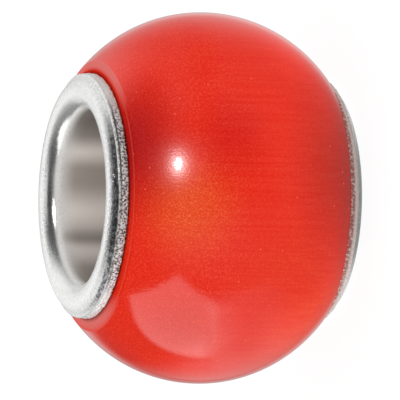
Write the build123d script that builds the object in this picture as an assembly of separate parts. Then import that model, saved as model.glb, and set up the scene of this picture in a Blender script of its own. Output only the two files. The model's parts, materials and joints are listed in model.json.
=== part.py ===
from build123d import *
import os

# A charm bead: a barrel-shaped glass ring with a metal eyelet pressed into each end of its hole.
# Millimetres. +Z runs along the hole, and the origin is the middle of the bead.
# Every section is drawn with X as the distance from the hole's axis and Y as the height.

# Eyelet: sheet metal drawn into a tube, its mouth rolled out over the glass
BORE_DIAMETER = 6.5
SHEET = 0.25
MOUTH_WIDTH = 0.75        # across the roll, from the bore's wall to the crest
DOME_WIDTH = 0.48         # across the roll, from the crest to its steep outer side
DOME_HEIGHT = 0.42        # from the crest down to the lip
LIP_WIDTH = 0.04          # flat ledge that the trimming leaves outside the dome
CUT_EDGE_LEAN = 0.08      # how far the sheet's cut edge leans out below the lip
CUT_EDGE_HEIGHT = 0.23    # from the lip down to the foot that faces the glass
TUBE_JOINT_GAP = 0.1      # between the two tubes, where they meet half way along the bead

# Glass
GLASS_LENGTH = 8.7        # over the flat ground ends
LAND_MARGIN = 0.05        # flat ground end left outside the eyelet's foot
BEVEL_WIDTH = 0.4         # shallow bevel outside the flat
BEVEL_DROP = 0.1
BULGE = 1.95              # from the bevel's edge out to the girth
EDGE_ROUND = 0.12         # on the edge between the bevel and the barrel

# Clearances
TUBE_CLEARANCE = 0.05     # between the tube and the hole in the glass, on the radius
SEAT_GAP = 0.03           # between the eyelet's foot and the flat end

bore_radius = BORE_DIAMETER / 2
tube_radius = bore_radius + SHEET
crest_radius = bore_radius + MOUTH_WIDTH
dome_radius = crest_radius + DOME_WIDTH
lip_radius = dome_radius + LIP_WIDTH
foot_radius = lip_radius + CUT_EDGE_LEAN

glass_top = GLASS_LENGTH / 2
foot_height = glass_top + SEAT_GAP
lip_height = foot_height + CUT_EDGE_HEIGHT
crest_height = lip_height + DOME_HEIGHT

land_radius = foot_radius + LAND_MARGIN
bevel_radius = land_radius + BEVEL_WIDTH
bevel_height = glass_top - BEVEL_DROP
girth_radius = bevel_radius + BULGE


def glass_body():
    """The glass ring: its section is a rectangle with a round outer side and bevelled ends."""
    hole_radius = tube_radius + TUBE_CLEARANCE
    with BuildPart() as glass:
        with BuildSketch(Plane.XZ) as section:
            with BuildLine():
                Polyline(
                    (bevel_radius, -bevel_height),
                    (land_radius, -glass_top),
                    (hole_radius, -glass_top),
                    (hole_radius, glass_top),
                    (land_radius, glass_top),
                    (bevel_radius, bevel_height),
                )
                ThreePointArc(
                    (bevel_radius, bevel_height),
                    (girth_radius, 0),
                    (bevel_radius, -bevel_height),
                )
            make_face()
            barrel_edges = section.vertices().group_by(Axis.X)[-1]
            fillet(barrel_edges, radius=EDGE_ROUND)
        revolve(axis=Axis.Z)
    return glass.part


def upper_eyelet():
    """The eyelet of the upper end: half of the tube, and the hollow roll over the glass."""
    roll_height = crest_height - foot_height
    roll_centre = (crest_radius, foot_height)
    inside_height = roll_height - SHEET
    with BuildPart() as eyelet:
        with BuildSketch(Plane.XZ):
            with BuildLine():
                # the side that shows: bore wall, mouth, dome, lip and cut edge
                Line((bore_radius, TUBE_JOINT_GAP / 2), (bore_radius, foot_height))
                EllipticalCenterArc(roll_centre, MOUTH_WIDTH, roll_height,
                                    start_angle=180, arc_size=-90)
                EllipticalCenterArc((crest_radius, lip_height), DOME_WIDTH, DOME_HEIGHT,
                                    start_angle=90, arc_size=-90)
                Polyline(
                    (dome_radius, lip_height),
                    (lip_radius, lip_height),
                    (foot_radius, foot_height),
                    (foot_radius - SHEET, foot_height),
                )
                # the side that faces the glass
                EllipticalCenterArc(roll_centre, foot_radius - SHEET - crest_radius, inside_height,
                                    start_angle=0, arc_size=90)
                EllipticalCenterArc(roll_centre, MOUTH_WIDTH - SHEET, inside_height,
                                    start_angle=90, arc_size=90)
                Polyline(
                    (tube_radius, foot_height),
                    (tube_radius, TUBE_JOINT_GAP / 2),
                    (bore_radius, TUBE_JOINT_GAP / 2),
                )
            make_face()
        revolve(axis=Axis.Z)
    return eyelet.part


def lower_eyelet():
    """The same eyelet, pressed in from below."""
    return mirror(upper_eyelet(), about=Plane.XY)


os.makedirs("parts", exist_ok=True)
export_step(glass_body(), "parts/glass_body.step")
export_step(upper_eyelet(), "parts/eyelet_upper.step")
export_step(lower_eyelet(), "parts/eyelet_lower.step")
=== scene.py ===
import json
from math import cos, radians, sin, tan

import bpy
from mathutils import Matrix, Vector


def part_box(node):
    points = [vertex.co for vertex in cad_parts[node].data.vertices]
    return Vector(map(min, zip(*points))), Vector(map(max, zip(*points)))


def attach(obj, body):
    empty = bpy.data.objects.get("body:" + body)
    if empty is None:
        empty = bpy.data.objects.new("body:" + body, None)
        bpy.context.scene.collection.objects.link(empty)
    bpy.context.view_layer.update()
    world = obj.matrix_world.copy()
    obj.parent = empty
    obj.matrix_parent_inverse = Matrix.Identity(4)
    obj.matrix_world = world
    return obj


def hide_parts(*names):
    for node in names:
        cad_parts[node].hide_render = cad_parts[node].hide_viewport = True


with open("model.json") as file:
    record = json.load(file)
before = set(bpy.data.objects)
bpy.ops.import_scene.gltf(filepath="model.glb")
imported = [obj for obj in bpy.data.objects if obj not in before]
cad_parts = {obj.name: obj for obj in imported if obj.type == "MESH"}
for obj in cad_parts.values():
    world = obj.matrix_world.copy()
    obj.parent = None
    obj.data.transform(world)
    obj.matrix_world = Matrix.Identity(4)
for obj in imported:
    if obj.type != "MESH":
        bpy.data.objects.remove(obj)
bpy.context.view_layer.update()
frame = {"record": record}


# Glass body
# A ring of orange-red cat's-eye glass: fine glass fibres fused side by side, cut to length, ground to
# a barrel outside and flat on its two ends, drilled for the eyelets and polished. The fibres run all
# but parallel to the hole: they show as fine lines down the side, and as specks towards the upper end.
mm = 0.001
glass_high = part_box("glass_body")[1]
girth_radius = glass_high.x
glass_top = glass_high.z
bore_radius = frame["record"]["mounts"][0]["dims"]["r_mm"] * mm
sheet = 0.25 * mm
tube_clearance = 0.05 * mm
hole_radius = bore_radius + sheet + tube_clearance
foot_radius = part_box("eyelet_upper")[1].x
land_margin = 0.05 * mm
land_radius = foot_radius + land_margin
bevel_width = 0.4 * mm
bevel_radius = land_radius + bevel_width
bevel_drop = 0.1 * mm
bevel_height = glass_top - bevel_drop
edge_round = 0.04 * mm
land_round = 0.08 * mm


class Wire:
    """The output of a node, which can be reckoned with like a number."""

    def __init__(self, tree, socket):
        self.tree = tree
        self.socket = socket

    def math(self, operation, *values):
        return self.tree.node("ShaderNodeMath", {"operation": operation}, dict(enumerate(values)))

    def __add__(self, other):
        return self.math("ADD", self, other)

    def __sub__(self, other):
        return self.math("SUBTRACT", self, other)

    def __rsub__(self, other):
        return self.math("SUBTRACT", other, self)

    def __mul__(self, other):
        return self.math("MULTIPLY", self, other)

    def __abs__(self):
        return self.math("ABSOLUTE", self)

    __radd__, __rmul__ = __add__, __mul__

    def vector(self, operation, *others, out="Vector"):
        values = dict(enumerate((self, *others)))
        return self.tree.node("ShaderNodeVectorMath", {"operation": operation}, values, out)

    def along(self, direction):
        return self.vector("DOT_PRODUCT", direction, out="Value")

    def step(self, none, full):
        """A smooth step: 0 where the value is at none or beyond, and 1 where it is at full or beyond."""
        sockets = {"Value": self, "From Min": none, "From Max": full}
        return self.tree.node("ShaderNodeMapRange", {"interpolation_type": "SMOOTHSTEP"}, sockets)

    def mixes(self, under, over):
        """A colour that is under where this share is 0 and over where it is 1."""
        # sockets 6 and 7 and output 2 are the mix node's colours
        sockets = {"Factor": self, 6: under, 7: over}
        return self.tree.node("ShaderNodeMix", {"data_type": "RGBA"}, sockets, 2)


class Tree:
    """A node tree that is written node by node: settings first, then values or links."""

    def __init__(self, tree):
        self.tree = tree

    def node(self, kind, settings=None, sockets=None, out=0):
        made = self.tree.nodes.new(kind)
        for setting, value in (settings or {}).items():
            setattr(made, setting, value)
        for socket, value in (sockets or {}).items():
            if isinstance(value, Wire):
                self.tree.links.new(value.socket, made.inputs[socket])
            else:
                made.inputs[socket].default_value = value
        return Wire(self, made.outputs[out]) if made.outputs else made

    def noise(self, place, **sockets):
        named = {socket.replace("_", " ").title(): value for socket, value in sockets.items()}
        return self.node("ShaderNodeTexNoise", {}, {"Vector": place, **named})


def new_material(name):
    """An empty material and its tree."""
    made = bpy.data.materials.new(name)
    made.use_nodes = True
    made.node_tree.nodes.clear()
    return made, Tree(made.node_tree)


class Spot:
    """Where a point of a piece lies in the object's own coordinates, in millimetres.

    Forward is towards the camera's side, and across is towards the picture's top.
    """

    def __init__(self, tree):
        coordinates = tree.node("ShaderNodeTexCoord", out="Object")
        self.place = tree.node("ShaderNodeMapping", {}, {"Vector": coordinates, "Scale": (1 / mm,) * 3})
        self.forward, self.across, self.height = (
            tree.node("ShaderNodeSeparateXYZ", {}, {"Vector": self.place}, axis) for axis in "XYZ")
        self.from_middle = abs(self.height)
        self.outwards = self.place.vector("MULTIPLY", (1, 1, 0))
        self.from_axis = self.outwards.vector("LENGTH", out="Value")


def arc(centre, across, up, start, end, count):
    """Points of a section on an ellipse's arc, from one angle to another, in degrees."""
    turns = [radians(start + (end - start) * i / (count - 1)) for i in range(count)]
    return [(centre[0] + across * cos(turn), centre[1] + up * sin(turn)) for turn in turns]


def line(start, end, count):
    """Points of a section on a straight line, both ends included."""
    shares = [i / (count - 1) for i in range(count)]
    return [tuple(a + (b - a) * share for a, b in zip(start, end)) for share in shares]


def eased(before, corner, after, reach, count=6):
    """A rounded corner of a section, which starts and ends that far from the corner."""
    start, end = (Vector(corner) + reach * (Vector(side) - Vector(corner)).normalized()
                  for side in (before, after))
    shares = [i / (count - 1) for i in range(count)]
    return [tuple(start.lerp(Vector(corner), share).lerp(Vector(corner).lerp(end, share), share))
            for share in shares]


def mirrored(section):
    """The same section on the other side of the bead's middle, still drawn clockwise."""
    return [(distance, -height) for distance, height in reversed(section)]


# the circle that carries a section round: the section's distances are taken from it
ring_radius = 1.0 * mm


def ring_tree():
    """Geometry nodes that carry a section round the hole's axis and roughen its cut edge."""
    group = bpy.data.node_groups.new("section_round_the_hole", "GeometryNodeTree")
    group.interface.new_socket("Section", in_out="INPUT", socket_type="NodeSocketGeometry")
    inputs = [
        group.interface.new_socket(name, in_out="INPUT", socket_type=kind)
        for name, kind in (
            ("Steps round", "NodeSocketInt"),
            ("Burr height", "NodeSocketFloat"),
            ("Burr length", "NodeSocketFloat"),
            ("Seed", "NodeSocketFloat"),
            ("Finish", "NodeSocketMaterial"),
        )
    ]
    group.interface.new_socket("Piece", in_out="OUTPUT", socket_type="NodeSocketGeometry")
    tree = Tree(group)
    given = {socket.name: Wire(tree, socket) for socket in group.nodes.new("NodeGroupInput").outputs}

    circle = tree.node("GeometryNodeCurvePrimitiveCircle", {"mode": "RADIUS"},
                       {"Resolution": given["Steps round"], "Radius": ring_radius})
    upright = tree.node("GeometryNodeSetCurveNormal", {"mode": "Z_UP"}, {"Curve": circle})
    section = tree.node("GeometryNodeMeshToCurve", {}, {"Mesh": given["Section"]})
    turned = tree.node("GeometryNodeCurveToMesh", {}, {"Curve": upright, "Profile Curve": section})

    cut = tree.node("GeometryNodeInputNamedAttribute", {"data_type": "FLOAT"}, {"Name": "cut_edge"})
    normal = tree.node("GeometryNodeInputNormal")
    position = tree.node("GeometryNodeInputPosition")
    burr_length = tree.node("ShaderNodeCombineXYZ", {}, {axis: given["Burr length"] for axis in "XYZ"})
    place = position.vector("DIVIDE", burr_length)
    burr = tree.node("ShaderNodeTexNoise", {"noise_dimensions": "4D"},
                     {"Vector": place, "W": given["Seed"], "Scale": 1.0, "Detail": 3.0})
    height = (burr - 0.5) * cut * given["Burr height"]
    lift = tree.node("ShaderNodeVectorMath", {"operation": "SCALE"}, {0: normal, "Scale": height})
    roughened = tree.node("GeometryNodeSetPosition", {}, {"Geometry": turned, "Offset": lift})

    smooth = tree.node("GeometryNodeSetShadeSmooth", {}, {"Geometry": roughened})
    real = tree.node("GeometryNodeRealizeInstances", {}, {"Geometry": smooth})
    done = tree.node("GeometryNodeSetMaterial", {}, {"Geometry": real, "Material": given["Finish"]})
    tree.node("NodeGroupOutput", {}, {"Piece": done})
    return group, {socket.name: socket.identifier for socket in inputs}


ring, ring_inputs = ring_tree()


def turned_piece(name, section, node, slot, shares, **sizes):
    """Makes a piece with that section all round the hole, as a plain mesh in place of a CAD node."""
    outline = bpy.data.meshes.new(name + "_section")
    points = [(distance - ring_radius, -height, 0.0) for distance, height in section]
    sides = [(i, (i + 1) % len(points)) for i in range(len(points))]
    outline.from_pydata(points, sides, [])
    for attribute, share in shares.items():
        values = outline.attributes.new(attribute, "FLOAT", "POINT").data
        values.foreach_set("value", [share(point) for point in section])

    maker = bpy.data.objects.new(name + "_maker", outline)
    bpy.context.scene.collection.objects.link(maker)
    modifier = maker.modifiers.new("ring", "NODES")
    modifier.node_group = ring
    for label, value in sizes.items():
        modifier[ring_inputs[label.replace("_", " ").capitalize()]] = value
    evaluated = maker.evaluated_get(bpy.context.evaluated_depsgraph_get())
    piece = bpy.data.objects.new(name, bpy.data.meshes.new_from_object(evaluated))
    maker.modifiers.remove(modifier)
    bpy.data.objects.remove(maker)
    bpy.context.scene.collection.objects.link(piece)
    piece.data.name = name
    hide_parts(node)
    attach(piece, "root")


# the barrel's side is one arc through the bevels' edges and the girth, but for the rounded edges
bulge = girth_radius - bevel_radius
barrel_radius = (bulge ** 2 + bevel_height ** 2) / (2 * bulge)
barrel_centre = girth_radius - barrel_radius
bevel_angle = 49.3
rounded_angle = 0.6
barrel = arc((barrel_centre, 0), barrel_radius, barrel_radius,
             bevel_angle - rounded_angle, -bevel_angle + rounded_angle, 81)

bevel_edge = (bevel_radius, bevel_height)
land_edge = (land_radius, glass_top)
upper_end = [
    *line((hole_radius, 0), (hole_radius, glass_top), 5)[1:],
    *eased((hole_radius, glass_top), land_edge, bevel_edge, land_round),
    *eased(land_edge, bevel_edge, barrel[0], edge_round),
]
lower_end = mirrored(upper_end)
glass_section = [(hole_radius, 0), *upper_end, *barrel, *lower_end]


# the glass's reds: among them a painted glow and reds of painted shade, as the clouds below say
plain_red = (0.825, 0.0280, 0.0103, 1.0)
painted_glow_orange = (0.84, 0.080, 0.016, 1.0)
low_orange = (1.00, 0.055, 0.0125, 1.0)
limb_red = (1.00, 0.034, 0.012, 1.0)
window_red = (0.74, 0.029, 0.0108, 1.0)
dim_shade_red = (0.72, 0.018, 0.009, 1.0)
side_red = (0.82, 0.036, 0.011, 1.0)
near_shade_red = (0.44, 0.0095, 0.0098, 1.0)
far_shade_red = (0.55, 0.023, 0.010, 1.0)
rim_shade_red = (0.33, 0.012, 0.008, 1.0)
# the painted highlight line along the bevel's edge
bevel_highlight_pink = (0.85, 0.16, 0.12, 1.0)
# the ground ends are paler pink towards the picture's top and bottom
pale_end_pink = (0.80, 0.22, 0.20, 1.0)
# painted shade in the seam beside the eyelet, and a little painted shade over the rest of the ground end
seam_shade = (0.50, 0.50, 0.50, 1.0)
land_shade = (0.92, 0.92, 0.92, 1.0)
fleck_pink = (0.90, 0.10, 0.06, 1.0)
# what a dark and a pale strand or speck multiply the glass's colour by
dark_speck = (0.95, 0.68, 0.52, 1.0)
pale_speck = (1.12, 1.95, 2.40, 1.0)
dark_strand = (0.985, 0.80, 0.70, 1.0)
pale_strand = (1.015, 1.18, 1.26, 1.0)
unchanged = (1.0, 1.0, 1.0, 1.0)
# each cloud in the glass: its colour, its middle and its reach along x, y and z, in mm. The orange glow
# is painted light, the lamp's light glowing through the glass on the camera's side. The near, dim, far
# and rim
# reds are painted shade: by the upper eyelet, right of the pin of light, and towards the lower end. The
# limb reds are brighter at the picture's top and bottom edges, the window red darker where the window
# shows in the gloss, and the low orange and side red more orange below the middle, towards the lower end.
tone_and_light_clouds = (
    (low_orange, (4.0, -5.0, -3.2), (4.2, 3.8, 3.2)),
    (limb_red, (2.6, 5.6, -2.4), (4.0, 2.6, 2.6)),
    (window_red, (4.3, -4.8, 2.2), (2.8, 2.6, 2.2)),
    (limb_red, (3.2, -6.8, 2.0), (4.0, 1.5, 4.0)),
    (painted_glow_orange, (6.4, -0.35, 2.7), (2.5, 2.7, 2.6)),
    (dim_shade_red, (6.4, 2.3, 1.0), (3.0, 2.2, 2.0)),
    (side_red, (6.3, -2.4, -1.6), (3.0, 2.4, 3.0)),
    (near_shade_red, (4.8, 2.1, 4.5), (3.6, 4.0, 2.6)),
    (far_shade_red, (6.0, 1.2, -3.4), (6.0, 4.8, 2.8)),
    (rim_shade_red, (5.3, 0.9, -4.8), (9.0, 6.0, 1.9)),
)
fibre_lean = 2
fibre_width = 0.11
fibre_layer = 0.6
fibre_length = 6.0
grain_width = 0.065
flecks_each_mm = 1.6
relief_height = 0.006
polish_roughness = 0.08
# the polish is duller round one place, where the small lamp shows in it
dull_place = (6.04, 1.27, 2.93)
dull_roughness = 0.15
# how much of their colours the bevel's painted highlight line and the pale pink at top and bottom show,
# and how much of its specks the lower end
bevel_highlight_share = 0.25
pale_end_share = 0.8
least_speckled = 0.5
# the noise at which a strand or a speck is dark, and at which it is pale
strand_noise = (0.3, 0.7)
speck_noise = (0.35, 0.85)
# how far from its middle a fleck ends, and up to where it is full, as shares of the flecks' spacing
fleck_edge = (0.07, 0.04)
# where each finish, painted highlight and painted shade sets in, in mm: first where there is none of it,
# then where it is full
specks_up = (-0.5, 1.6)
strands_down = (3.4, 1.0)
dull_edge = (2.0, 0.7)
bevel_highlight_inside = (4.88, 4.93)
bevel_highlight_outside = (5.01, 4.96)
pale_end_bottom = (-3.5, -4.6)
pale_end_bottom_inwards = (5.35, 4.75)
pale_end_top = (3.0, 4.6)
pale_end_top_outwards = (4.68, 4.88)
seam_inwards = (bevel_radius / mm - 0.26, foot_radius / mm)
ground_up = (bevel_height / mm - 0.05, bevel_height / mm - 0.02)


def glass_colour(tree, spot, strand, grain):
    """The glass's reds: clouds of tone, painted glow and painted shade, then specks at the upper end,
    strands lower down, and a few flecks.
    """
    colour = plain_red
    for cloud_colour, middle, reach in tone_and_light_clouds:
        away = spot.place.vector("SUBTRACT", middle).vector("DIVIDE", reach)
        colour = away.vector("LENGTH", out="Value").step(1.0, 0.0).mixes(colour, cloud_colour)
    specks = grain.step(*speck_noise).mixes(dark_speck, pale_speck)
    strands = strand.step(*strand_noise).mixes(dark_strand, pale_strand)
    speckled = spot.height.step(*specks_up) * (1.0 - least_speckled) + least_speckled
    colour = colour.vector("MULTIPLY", speckled.mixes(unchanged, specks))
    colour = colour.vector("MULTIPLY", spot.height.step(*strands_down).mixes(unchanged, strands))
    flecks = tree.node("ShaderNodeTexVoronoi", {},
                       {"Vector": spot.place, "Scale": flecks_each_mm}, "Distance")
    return flecks.step(*fleck_edge).mixes(colour, fleck_pink)


def ground_colour(colour, spot):
    """The ground ends' reds: a painted highlight line at the bevel, paler pink towards top and bottom,
    and painted shade in the seam by the eyelet.
    """
    bevel_highlight = spot.from_axis.step(*bevel_highlight_inside) * spot.from_axis.step(*bevel_highlight_outside)
    colour = (bevel_highlight * bevel_highlight_share).mixes(colour, bevel_highlight_pink)
    bottom = spot.across.step(*pale_end_bottom) * spot.from_axis.step(*pale_end_bottom_inwards)
    top = spot.across.step(*pale_end_top) * spot.from_axis.step(*pale_end_top_outwards)
    colour = ((bottom + top) * pale_end_share).mixes(colour, pale_end_pink)
    return colour.vector("MULTIPLY", spot.from_axis.step(*seam_inwards).mixes(land_shade, seam_shade))


def glass_material():
    """Cat's-eye glass, polished round its side and ground at its two ends."""
    made, tree = new_material("cats_eye_glass")
    spot = Spot(tree)
    leaning = tree.node("ShaderNodeMapping", {},
                        {"Vector": spot.place, "Rotation": (0, -radians(fibre_lean), 0)})
    fibres = tree.node("ShaderNodeMapping", {}, {
        "Vector": leaning,
        "Scale": (1 / fibre_layer, 1 / fibre_width, 1 / fibre_length),
    })
    strand = tree.noise(fibres, scale=1.0, detail=3.0, roughness=0.6)
    grain = tree.noise(spot.place, scale=1 / grain_width, detail=1.0)
    colour = glass_colour(tree, spot, strand, grain)

    relief = strand * relief_height + grain * relief_height
    bump = tree.node("ShaderNodeBump", {}, {"Strength": 0.4, "Distance": 1.0 * mm, "Height": relief})
    from_dull = spot.place.vector("SUBTRACT", dull_place).vector("LENGTH", out="Value")
    polished = tree.node("ShaderNodeBsdfPrincipled", {}, {
        "Base Color": colour,
        "Roughness": from_dull.step(*dull_edge) * dull_roughness + polish_roughness,
        "IOR": 1.5,
        "Specular IOR Level": 0.5,
        "Normal": bump,
        "Coat Weight": 0.25,
        "Coat Roughness": 0.05,
        "Coat IOR": 1.5,
    })
    ground = tree.node("ShaderNodeBsdfPrincipled", {}, {
        "Base Color": ground_colour(colour, spot),
        "Roughness": 0.8,
        "Specular IOR Level": 0.0,
    })
    ground_share = spot.from_middle.step(*ground_up)
    shader = tree.node("ShaderNodeMixShader", {}, {0: ground_share, 1: polished, 2: ground})
    tree.node("ShaderNodeOutputMaterial", {}, {"Surface": shader})
    return made


turned_piece("glass_body_fibre_barrel", glass_section, "glass_body", "cats_eye_glass", {},
             steps_round=256, finish=glass_material())


# Eyelets
# Two eyelets of plated brass sheet, one pressed into each end of the hole. Each is drawn into a tube,
# and its mouth is rolled out over the glass, so the sheet's cut edge stands on the ground end. The
# plate is satin, with a grain left by tumbling, and the cut edge is torn and bare.
mouth_width = 0.75 * mm
dome_width = 0.48 * mm
dome_height = 0.42 * mm
flank_angle = 45
flank_round = 0.01 * mm
foot_gap = 0.03 * mm
cut_edge_height = 0.23 * mm
tube_joint_half_gap = 0.05 * mm
crest_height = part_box("eyelet_upper")[1].z
foot_height = glass_top + foot_gap
dome_base = foot_height + cut_edge_height
crest_radius = bore_radius + mouth_width
tube_radius = bore_radius + sheet
roll_height = crest_height - foot_height
roll_centre = (crest_radius, foot_height)
inside_height = roll_height - sheet
dome = arc((crest_radius, dome_base), dome_width, dome_height, 90, flank_angle, 8)
flank_start = dome[-1]
# the outer points of the section: each one's distance from the axis, and its height
flank_foot = (4.50 * mm, 4.746 * mm)
ledge_edge = (4.59 * mm, 4.711 * mm)
ledge_underside = (4.58 * mm, 4.695 * mm)
hollow_top = (4.57 * mm, 4.66 * mm)
hollow_foot = (4.575 * mm, 4.63 * mm)
torn_top = (4.59 * mm, 4.60 * mm)
# the cut edge, from the ledge down to the foot
cut_line = [
    ledge_edge,
    ledge_underside,
    hollow_top,
    hollow_foot,
    *line(torn_top, (foot_radius, foot_height), 7),
]

# the section starts at the joint of the two tubes, runs up the bore and over the roll to the cut edge,
# and comes back inside the roll
eyelet_section = [
    *line((bore_radius, tube_joint_half_gap), (bore_radius, foot_height), 6)[:-1],
    *arc(roll_centre, mouth_width, roll_height, 180, 90, 17)[:-1],
    *dome,
    *line(flank_start, flank_foot, 7)[1:-1],
    *eased(flank_start, flank_foot, ledge_edge, flank_round, 3),
    *cut_line,
    (foot_radius - sheet, foot_height),
    *arc(roll_centre, foot_radius - sheet - crest_radius, inside_height, 0, 90, 7)[1:-1],
    *arc(roll_centre, mouth_width - sheet, inside_height, 90, 180, 7),
    (tube_radius, tube_joint_half_gap),
]


def cut_share(point):
    """How torn the sheet is there: fully on the cut edge, and nowhere else."""
    distance, height = point
    return 1.0 if (distance, abs(height)) in cut_line else 0.0


def hollow_share(point):
    """How much painted shade the hollow under the ledge gets there."""
    distance, height = point
    return 1.0 if (distance, abs(height)) in (hollow_top, hollow_foot) else 0.0


plate_silver = (0.97, 0.97, 0.96, 1.0)
plate_grey = (0.79, 0.79, 0.78, 1.0)
tube_warm = (1.00, 0.92, 0.86, 1.0)
# the tube's painted shade between its painted reflections, and its darkest painted shade
tube_unlit = (0.44, 0.39, 0.35, 1.0)
tube_shade = (0.12, 0.10, 0.09, 1.0)
torn_pale = (0.92, 0.97, 0.95, 1.0)
torn_dark = (0.14, 0.13, 0.13, 1.0)
torn_warm = (0.84, 0.75, 0.70, 1.0)
# painted reddish shade at the lower eyelet's seam, and painted shade in the hollow under the upper
# eyelet's ledge
lower_seam_shade = (0.52, 0.18, 0.16, 1.0)
hollow_shade = (0.03, 0.03, 0.03, 1.0)
# the painted dark reflection in the crease outside the upper eyelet's dome
crease_dark_reflection = (0.06, 0.06, 0.07, 1.0)
# painted reflections: the pale streaks down the tube, where they lie across the hole, and how far each
# fades, in mm
reflected_streaks = ((1.66, 0.7), (-0.6, 1.15), (-2.16, 0.6))
# the painted shade between them: where it lies across the hole, how far each fades, and how dark it is
shades = ((3.1, 1.5, 0.85), (-3.2, 1.0, 0.70), (-1.58, 0.45, 0.35), (-2.3, 0.6, 0.30))
# how far down the tube each sets in, in mm: first where there is none of it, then where it is full
tube_warm_down = (4.75, 3.7)
tube_unlit_down = (4.7, 3.8)
tube_shade_down = (4.62, 4.2)
# how much painted shade the tube has between its streaks
tube_unlit_share = 0.9


def tube_light_and_shade(colour, tube, spot):
    """The tube's painted reflections: pale streaks along it, painted shade between them, darkest at the
    shades.
    """
    colour = (tube * spot.from_middle.step(*tube_warm_down)).mixes(colour, tube_warm)
    unlit = tube
    for middle, reach in reflected_streaks:
        unlit = abs(spot.across - middle).step(0.0, reach) * unlit
    colour = (unlit * spot.from_middle.step(*tube_unlit_down) * tube_unlit_share).mixes(colour, tube_unlit)
    for middle, reach, shade in shades:
        near_it = tube * abs(spot.across - middle).step(reach, 0.0)
        colour = (near_it * spot.from_middle.step(*tube_shade_down) * shade).mixes(colour, tube_shade)
    return colour


blot_size = 0.16
# the noise at which a blot starts, and at which it is full
blot_noise = (0.62, 0.42)
speckle_noise = (0.54, 0.42)
# how much painted dark reflection the crease has between its blots, how much its blots add, and how much
# the speckle has
least_crease = 0.42
blot_share = 0.5
speckle_share = 0.2
# where the crease outside the dome lies, and the speckle inside it, in mm: first where there is none
crease_outwards = (4.28, 4.40)
crease_bottom_end = (-4.6, -3.6)
crease_top_end = (3.4, 1.8)
crease_inner_edge = (4.93, 4.86)
crease_outer_edge = (4.74, 4.77)
# at its bottom the crease shifts outwards, and in its middle it reaches out over the ledge
crease_bottom = (-1.0, -4.0)
bottom_inner_shift = 0.045
bottom_outer_shift = 0.04
middle_outer_shift = 0.05
speckle_forward = (-1.0, 1.5)
speckle_outwards = (4.0, 4.40)


def painted_crease(colour, tree, spot, upper_eyelet, crease_middle, pits):
    """Painted dark reflection in blots in the crease outside the upper eyelet's dome, and a faint speckle
    of it inside the dome.
    """
    bottom = spot.across.step(*crease_bottom)
    inner = spot.from_middle + bottom * bottom_inner_shift
    outer = spot.from_middle + bottom * bottom_outer_shift + crease_middle * middle_outer_shift
    crease = upper_eyelet * spot.from_axis.step(*crease_outwards)
    crease = crease * spot.across.step(*crease_bottom_end) * spot.across.step(*crease_top_end)
    crease = crease * inner.step(*crease_inner_edge) * outer.step(*crease_outer_edge)
    blots = tree.noise(spot.place, scale=1 / blot_size, detail=3.0, roughness=0.7)
    colour = (crease * (blots.step(*blot_noise) * blot_share + least_crease)).mixes(colour, crease_dark_reflection)
    speckle = spot.forward.step(*speckle_forward) * spot.from_axis.step(*speckle_outwards)
    return (speckle * pits.step(*speckle_noise) * speckle_share).mixes(colour, crease_dark_reflection)


pit_size = 0.085
# the noise at which each kind of pit starts, and at which it is full
seam_noise = (0.66, 0.46)
torn_noise = (0.56, 0.40)
hollow_noise = (0.42, 0.52)
# how much less painted shade the hollow gets beside the crease's middle
hollow_paler = 0.7
# how torn the sheet is where the edge's colour starts, and where it is full
torn_share = (0.2, 0.9)
# where the upper torn edge has its dark pits and its hollow's painted shade, and where the lower one has
# painted shade at its seam, in mm
edge_middle_inwards = (3.9, 2.9)
seam_down = (4.63, 4.53)


def torn(colour, spot, cut, hollow, upper_eyelet, crease_middle, pits):
    """The torn edge: pale with dark pits and painted shade under the ledge on the upper eyelet, warm with
    painted reddish shade at its seam on the lower.
    """
    colour = cut.step(*torn_share).mixes(colour, upper_eyelet.mixes(torn_warm, torn_pale))
    seam = cut * (1.0 - upper_eyelet) * spot.from_middle.step(*seam_down) * pits.step(*seam_noise)
    colour = seam.mixes(colour, lower_seam_shade)
    edge_middle = upper_eyelet * abs(spot.across).step(*edge_middle_inwards)
    colour = (cut * edge_middle * pits.step(*torn_noise)).mixes(colour, torn_dark)
    hollows = hollow * edge_middle * (1.0 - crease_middle * hollow_paler) * pits.step(*hollow_noise)
    return hollows.mixes(colour, hollow_shade)


grain_size = 0.08
grain_noise = (0.3, 0.55)
clouds_each_mm = 1.3
scratch_width = 0.07
# how deep the scratches and the pits are, where the grain is 1
scratch_depth = 0.8
pit_depth = 2.0
plate_roughness = 0.13
cloud_roughness = 0.06
cut_roughness = 0.2
# how much of the cut edge isn't bare metal
cut_dullness = 0.5
# the scratches run outwards, so their pattern changes fast round the hole and slowly along them
scratches_round = 4.2
scratches_along = 0.2
# where each finish lies, in mm: first where there is none of it, then where it is full
tube_inwards = (bore_radius / mm + 0.12, bore_radius / mm + 0.02)
upper_eyelet_up = (-1.0, 1.0)
crease_middle_from_bottom = (-3.4, -2.2)
crease_middle_from_top = (1.0, -0.4)
drawn_inwards = (3.80, 3.55)
satin_to_both_sides = (1.2, 4.0)
satin_to_bottom = (-1.8, -3.6)
# how much of the plate is satin: everywhere, more on the lower eyelet, at both sides and at the bottom
satin_least = 0.07
satin_lower_eyelet = 0.06
satin_sides = 0.68
satin_bottom = 0.22
# how much smoother and barer the plate is where it was drawn
drawn_smoother = 0.7
drawn_barer = 0.5


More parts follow.
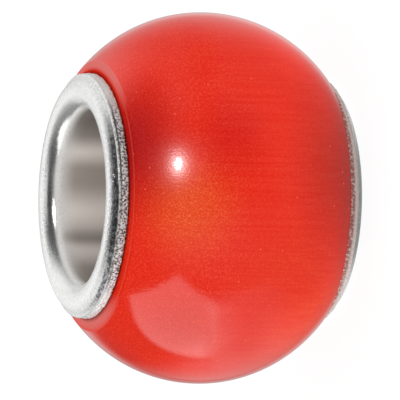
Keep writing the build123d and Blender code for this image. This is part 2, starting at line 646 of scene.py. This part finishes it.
def plate_material():
    """Satin plate: grain all over, painted reflection and shade in the tube and round the upper ledge,
    pits in the torn edge.
    """
    made, tree = new_material("satin_plate")
    spot = Spot(tree)
    cut = tree.node("ShaderNodeAttribute", {"attribute_name": "cut_edge"}, out="Fac")
    hollow = tree.node("ShaderNodeAttribute", {"attribute_name": "hollow"}, out="Fac")
    grain = tree.noise(spot.place, scale=1 / grain_size, detail=3.0, roughness=0.65)
    pits = tree.noise(spot.place, scale=1 / pit_size, detail=2.0, roughness=0.6)
    tube = spot.from_axis.step(*tube_inwards)
    upper_eyelet = spot.height.step(*upper_eyelet_up)
    crease_middle = (spot.across.step(*crease_middle_from_bottom)
                     * spot.across.step(*crease_middle_from_top))
    colour = grain.step(*grain_noise).mixes(plate_grey, plate_silver)
    colour = tube_light_and_shade(colour, tube, spot)
    colour = painted_crease(colour, tree, spot, upper_eyelet, crease_middle, pits)
    colour = torn(colour, spot, cut, hollow, upper_eyelet, crease_middle, pits)

    round_the_hole = spot.outwards.vector("NORMALIZE").vector("MULTIPLY", (scratches_round,) * 3)
    along = spot.place.vector("MULTIPLY", (scratches_along,) * 3)
    scratches = tree.noise(round_the_hole.vector("ADD", along), scale=1 / scratch_width, detail=2.0)
    drawn = spot.from_axis.step(*drawn_inwards)
    relief = (grain + scratches * scratch_depth) * (1.0 - drawn * drawn_smoother) + cut * pits * pit_depth
    bump = tree.node("ShaderNodeBump", {}, {"Strength": 0.6, "Distance": 0.030 * mm, "Height": relief})

    # the satin share scatters light and isn't bare metal: it is largest at the picture's top and bottom
    satin = abs(spot.across).step(*satin_to_both_sides) * satin_sides
    satin = satin + spot.across.step(*satin_to_bottom) * satin_bottom
    satin = satin + (1.0 - upper_eyelet) * satin_lower_eyelet + satin_least
    satin = (1.0 - tube) * (1.0 - cut) * satin * (1.0 - drawn * drawn_barer)
    clouds_in_polish = tree.noise(spot.place, scale=clouds_each_mm, detail=2.0)
    shader = tree.node("ShaderNodeBsdfPrincipled", {}, {
        "Base Color": colour,
        "Metallic": 1.0 - tube - cut * cut_dullness - satin,
        "Roughness": plate_roughness + clouds_in_polish * cloud_roughness + cut * cut_roughness,
        "Normal": bump,
    })
    tree.node("ShaderNodeOutputMaterial", {}, {"Surface": shader})
    return made


plate = plate_material()
for end, section, seed in (("upper", eyelet_section, 1.0), ("lower", mirrored(eyelet_section), 2.0)):
    turned_piece("eyelet_" + end + "_rolled_tube", section, "eyelet_" + end, "eyelet_metal",
                 {"cut_edge": cut_share, "hollow": hollow_share},
                 steps_round=900, burr_height=0.10 * mm, burr_length=0.12 * mm, seed=seed, finish=plate)


# Camera
# It stands where the photograph was taken from, far off with a long lens, and looks down on the bead
# at its angle. It is rolled, so that the hole's axis lies across the picture.
picture_width = 400
# pixels for each metre at the bead
picture_scale = 26.55 / mm
bead_centre_pixel = (199.3, 198.0)
camera_rise = radians(19.2)
camera_roll = radians(1.1)
camera_distance = 0.4
towards_camera = Vector((cos(camera_rise), 0, sin(camera_rise)))
upright_axis = Vector((-sin(camera_rise), 0, cos(camera_rise)))
across_axis = Vector((0, 1, 0))
picture_right = cos(camera_roll) * -upright_axis + sin(camera_roll) * across_axis
picture_up = sin(camera_roll) * upright_axis + cos(camera_roll) * across_axis
shift_right = (picture_width / 2 - bead_centre_pixel[0]) / picture_scale
shift_up = (bead_centre_pixel[1] - picture_width / 2) / picture_scale

camera = bpy.data.objects.new("camera", bpy.data.cameras.new("camera"))
bpy.context.scene.collection.objects.link(camera)
bpy.context.scene.camera = camera
camera.data.sensor_width = 36
camera.data.lens = picture_scale * camera_distance * camera.data.sensor_width / picture_width
camera.data.clip_start = 0.01
camera.data.clip_end = 10
camera_place = towards_camera * camera_distance + picture_right * shift_right + picture_up * shift_up
turn = Matrix((picture_right, picture_up, towards_camera)).transposed()
camera.matrix_world = Matrix.Translation(camera_place) @ turn.to_4x4()


# Floor
# A plain sheet of white paper that the bead stands on. It is lit so evenly from all sides that it shows
# next to no shadow, and it doesn't show in the bead's gloss, as the room's walls do.
floor_width = 2.0
floor_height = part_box("eyelet_lower")[0].z
floor_grey = (0.1, 0.1, 0.1, 1.0)
floor_glow = 0.93
white = (1.0, 1.0, 1.0, 1.0)
floor_corners = [(x * floor_width / 2, y * floor_width / 2, floor_height)
                 for x, y in ((-1, -1), (1, -1), (1, 1), (-1, 1))]
floor_mesh = bpy.data.meshes.new("floor")
floor_mesh.from_pydata(floor_corners, [], [(0, 1, 2, 3)])
floor = bpy.data.objects.new("floor", floor_mesh)
bpy.context.scene.collection.objects.link(floor)
floor.visible_glossy = False
floor_white, floor_tree = new_material("floor_white")
floor_shader = floor_tree.node("ShaderNodeBsdfPrincipled", {}, {
    "Base Color": floor_grey,
    "Roughness": 1.0,
    "Specular IOR Level": 0.0,
    "Emission Color": white,
    "Emission Strength": floor_glow,
})
floor_tree.node("ShaderNodeOutputMaterial", {}, {"Surface": floor_shader})
floor_white.cycles.emission_sampling = "NONE"
floor_mesh.materials.append(floor_white)


# Light
# A white studio lights the bead evenly from all sides, and its gloss shows a room: dim round the
# camera, with pale walls behind the bead and a bright window low on the left. One small lamp makes the
# pin of light near the upper end.
room_shade = 0.065
# each pale place in the room: its brightness, then the directions in which it grows, from none to full
pale_places = (
    # away from the camera, on the right
    (0.14, ("near", 0.8, 0.45), ("right", -0.15, 0.15)),
    # the wall behind, in its upper left
    (0.48, ("near", -0.2, -1.1), ("right", 0.6, 0.05), ("up", 0.0, 0.4)),
    # a faint patch above, a little to the left
    (0.19, ("near", 0.8, 0.4), ("near", -0.7, -0.2), ("right", 0.05, -0.3), ("right", -0.6, -0.35),
     ("up", 0.2, 0.6)),
    # the wall on the left, behind the bead
    (0.75, ("near", 0.15, -0.45), ("right", -0.3, -0.8), ("up", -0.6, -0.1)),
    # a patch far left, level with the bead
    (0.65, ("near", 0.44, 0.20), ("near", -0.5, -0.2), ("right", -0.75, -0.88), ("up", 0.35, 0.1),
     ("up", -0.35, -0.1)),
    # a patch behind, left of the middle and a little below it
    (0.50, ("near", -0.45, -0.85), ("right", -0.05, -0.35), ("up", -0.45, -0.25), ("up", 0.15, -0.15)),
    # a patch below and behind, in the middle
    (0.42, ("near", 0.0, -0.3), ("right", -0.3, 0.0), ("right", 0.3, 0.0), ("up", -0.35, -0.45)),
    # straight behind
    (0.32, ("near", -0.88, -0.985)),
    # a glow from the camera's side, below
    (0.44, ("near", 0.36, 1.07), ("up", 0.2, -0.7)),
    # a darker place on the left, on the camera's side
    (-0.045, ("near", 0.42, 0.58), ("right", -0.5, -0.7)),
)
# each pane: its brightness, then its corners, as degrees from the camera's direction, degrees round the
# picture from its right, and the softness of the side that starts there
panes = (
    # the window
    (1.48, (53.5, -118, 0.03), (90, -137.5, 0.03), (106, -123, 0.03), (113.5, -110, 0.04),
     (117, -97, 0.12), (117, -88.5, 0.09), (67, -86, 0.04)),
    # a soft strip at the window's right
    (0.75, (70, -88, 0.04), (103, -87, 0.2), (103, -78, 0.22), (70, -78, 0.06)),
    # a dimmer wall beyond the strip
    (0.40, (63.5, -90.5, 0.035), (117, -87.5, 0.17), (152.5, -64.5, 0.23), (111, -45, 0.28),
     (69.5, -52.5, 0.08)),
)
# the lamp's direction as the panes' corners give theirs, and how wide it looks, in degrees
lamp_turns = (32.8, 141.2)
lamp_angles = (6, 7.5)
lamp_spot = Vector(dull_place) * mm
lamp_distance = 0.12
lamp_power = 0.045


def room_direction(turn_from_camera, turn_in_picture):
    """A direction in the room: degrees from the camera's, then round the picture from its right."""
    away, round_turn = radians(turn_from_camera), radians(turn_in_picture)
    sideways = cos(round_turn) * picture_right + sin(round_turn) * picture_up
    return cos(away) * towards_camera + sin(away) * sideways


def room_brightness(room):
    """How bright the room is where a ray looks: its shade, the pale places and the panes."""
    looking = room.node("ShaderNodeTexCoord", out="Generated")
    axes = {"near": towards_camera, "right": picture_right, "up": picture_up}
    brightness = room_shade
    for place_brightness, *growths in pale_places:
        for axis, none, full in growths:
            place_brightness = looking.along(axes[axis]).step(none, full) * place_brightness
        brightness = place_brightness + brightness
    for pane_brightness, *pane_corners in panes:
        for corner, following in zip(pane_corners, pane_corners[1:] + pane_corners[:1]):
            inward = room_direction(*corner[:2]).cross(room_direction(*following[:2])).normalized()
            softness = corner[2]
            pane_brightness = looking.along(inward).step(-softness, softness) * pane_brightness
        brightness = pane_brightness + brightness
    return brightness


world = bpy.data.worlds.new("studio")
bpy.context.scene.world = world
world.use_nodes = True
world.node_tree.nodes.clear()
world.cycles.sampling_method = "NONE"
room = Tree(world.node_tree)
brightness = room_brightness(room)
bright = room.node("ShaderNodeCombineXYZ", {}, {axis: brightness for axis in "XYZ"})
glossy = room.node("ShaderNodeLightPath", out="Is Glossy Ray")
light = glossy.mixes(white, bright)
background = room.node("ShaderNodeBackground", {}, {"Color": light, "Strength": 1.0})
room.node("ShaderNodeOutputWorld", {}, {"Surface": background})

lamp_direction = room_direction(*lamp_turns)
lamp = bpy.data.objects.new("lamp", bpy.data.lights.new("lamp", "AREA"))
lamp.data.shape = "ELLIPSE"
lamp.data.size, lamp.data.size_y = (2 * lamp_distance * tan(radians(angle) / 2) for angle in lamp_angles)
lamp.data.energy = lamp_power
lamp.visible_camera = False
lamp.visible_diffuse = False
lamp_right = (picture_up.cross(lamp_direction)).normalized()
lamp_up = lamp_direction.cross(lamp_right)
lamp_turn = Matrix((lamp_right, lamp_up, lamp_direction)).transposed()
lamp.matrix_world = Matrix.Translation(lamp_spot + lamp_direction * lamp_distance) @ lamp_turn.to_4x4()
bpy.context.scene.collection.objects.link(lamp)
bpy.context.scene.view_settings.view_transform = "Standard"
